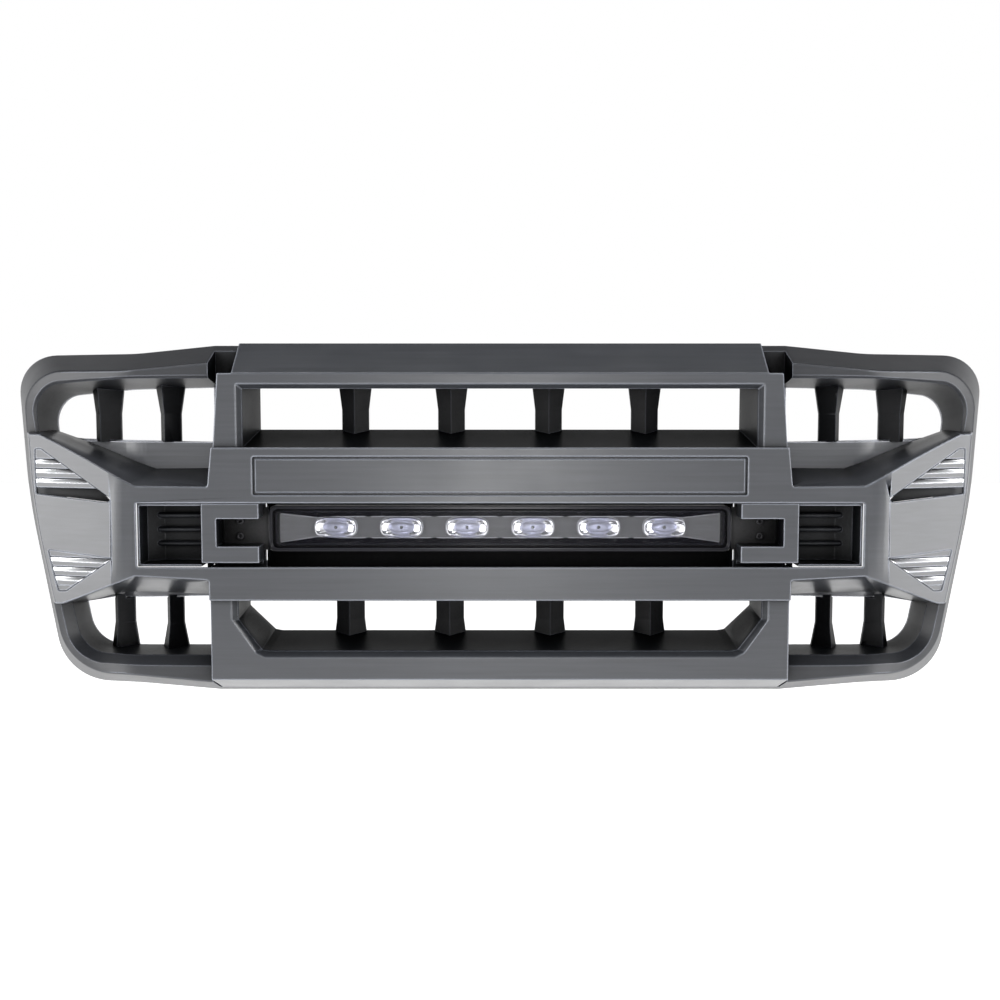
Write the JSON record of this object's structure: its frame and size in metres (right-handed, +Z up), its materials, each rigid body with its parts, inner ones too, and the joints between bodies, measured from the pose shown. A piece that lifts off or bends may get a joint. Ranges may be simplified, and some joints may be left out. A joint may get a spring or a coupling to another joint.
{
  "type": "vehicle front grille",
  "caption": "Wide moulded front grille with an X-shaped crossbar, upright vanes, louvred wings and a slim lens-covered light bar across the middle.",
  "frame": {"origin": "centre of the four rear bolt holes, on the plane where the brackets sit against the vehicle", "axes": "+X to the right seen from the front, +Y back into the vehicle, +Z up"},
  "size_m": [1.1279, 0.1221, 0.3995],
  "materials": {
    "satin_moulding": "satin moulded ABS with a fine grain, charcoal grey",
    "dark_moulding": "fine-grained black moulded ABS",
    "black_plastic": "smooth black moulded plastic",
    "smoked_lens": "clear polycarbonate with a light smoke tint",
    "clear_optic": "clear moulded projector lens",
    "cast_aluminium": "extruded aluminium, black anodised at the front",
    "coated_steel": "black powder-coated steel",
    "zinc_steel": "zinc-plated steel",
    "seal_rubber": "black silicone rubber",
    "circuit_board": "white solder mask on an aluminium-backed board",
    "led_face": "pale yellow phosphor",
    "contact_brass": "tinned brass"
  },
  "bodies": {
    "root": {"bracket_screws": "zinc_steel", "breather_vent": "black_plastic", "center_frame": "satin_moulding", "connector_contacts": "contact_brass", "connector_socket": "black_plastic", "corner_grid_lower_left": "satin_moulding", "corner_grid_lower_right": "satin_moulding", "corner_grid_upper_left": "satin_moulding", "corner_grid_upper_right": "satin_moulding", "crossbar_overlay": "satin_moulding", "end_bracket_left": "satin_moulding", "end_bracket_right": "satin_moulding", "led_board": "circuit_board", "led_chips": "led_face", "light_bar_bezel": "black_plastic", "light_bar_ear_left": "coated_steel", "light_bar_ear_right": "coated_steel", "light_bar_gasket": "seal_rubber", "light_bar_housing": "cast_aluminium", "light_bar_lens": "smoked_lens", "light_bar_reflector": "black_plastic", "light_bar_screws": "coated_steel", "light_bar_tray": "dark_moulding", "locating_pins": "zinc_steel", "louvre_insert_lower_left": "satin_moulding", "louvre_insert_lower_right": "satin_moulding", "louvre_insert_upper_left": "satin_moulding", "louvre_insert_upper_right": "satin_moulding", "lower_duct": "dark_moulding", "lower_inner_vane_left": "dark_moulding", "lower_inner_vane_right": "dark_moulding", "lower_outer_vane_left": "dark_moulding", "lower_outer_vane_right": "dark_moulding", "lower_vane_far_left": "dark_moulding", "lower_vane_far_right": "dark_moulding", "lower_vane_near_left": "dark_moulding", "lower_vane_near_right": "dark_moulding", "mounting_bracket_lower_left": "coated_steel", "mounting_bracket_lower_right": "coated_steel", "mounting_bracket_upper_left": "coated_steel", "mounting_bracket_upper_right": "coated_steel", "nameplate_panel": "satin_moulding", "outer_shell": "satin_moulding", "overlay_push_nuts": "zinc_steel", "projector_lenses": "clear_optic", "upper_duct": "dark_moulding", "upper_inner_vane_left": "dark_moulding", "upper_inner_vane_right": "dark_moulding", "upper_outer_vane_left": "dark_moulding", "upper_outer_vane_right": "dark_moulding", "upper_vane_far_left": "dark_moulding", "upper_vane_far_right": "dark_moulding", "upper_vane_near_left": "dark_moulding", "upper_vane_near_right": "dark_moulding", "vent_insert_left": "satin_moulding", "vent_insert_right": "satin_moulding"}
  },
  "joints": []
}
